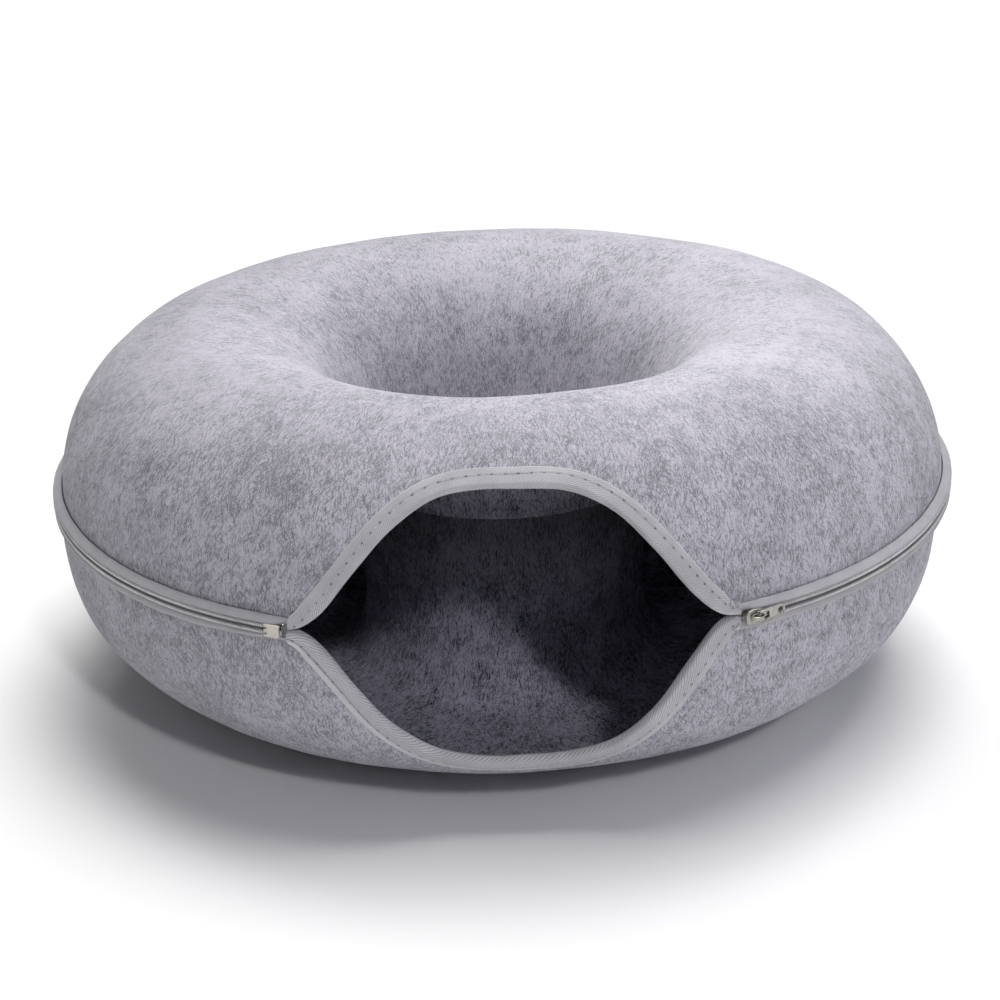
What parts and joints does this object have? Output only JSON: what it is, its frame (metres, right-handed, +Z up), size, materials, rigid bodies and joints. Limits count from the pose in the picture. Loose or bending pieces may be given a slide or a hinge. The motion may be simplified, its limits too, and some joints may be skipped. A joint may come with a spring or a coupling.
{
  "type": "felt cat cave",
  "caption": "Ring-shaped felt cat tunnel: domed top with a funnel in the middle, rounded bowl below, an arched mouth with bound edges at the front, and a zip round the outside.",
  "frame": {"origin": "on the ground, under the middle of the bounding box", "axes": "+Z up, -Y the front where the mouth opens, +X to the right as seen from the front"},
  "size_m": [0.5994, 0.5819, 0.24],
  "materials": {
    "felt": "matte needled felt, mottled grey",
    "binding": "twill tape",
    "zip_tape": "smooth soft tape",
    "zip_coil": "moulded coil",
    "stop_plastic": "moulded, cream",
    "zip_metal": "worn plated metal"
  },
  "bodies": {
    "root": {"upper_shell": "felt", "lower_shell": "felt", "binding_upper": "binding", "binding_lower": "binding", "zip_tape_upper": "zip_tape", "zip_tape_lower": "zip_tape", "zip_chain": "zip_coil", "zip_stop_box": "stop_plastic", "zip_end_clamp": "zip_metal", "zip_slider": "zip_metal", "zip_pull": "zip_metal"}
  },
  "joints": []
}
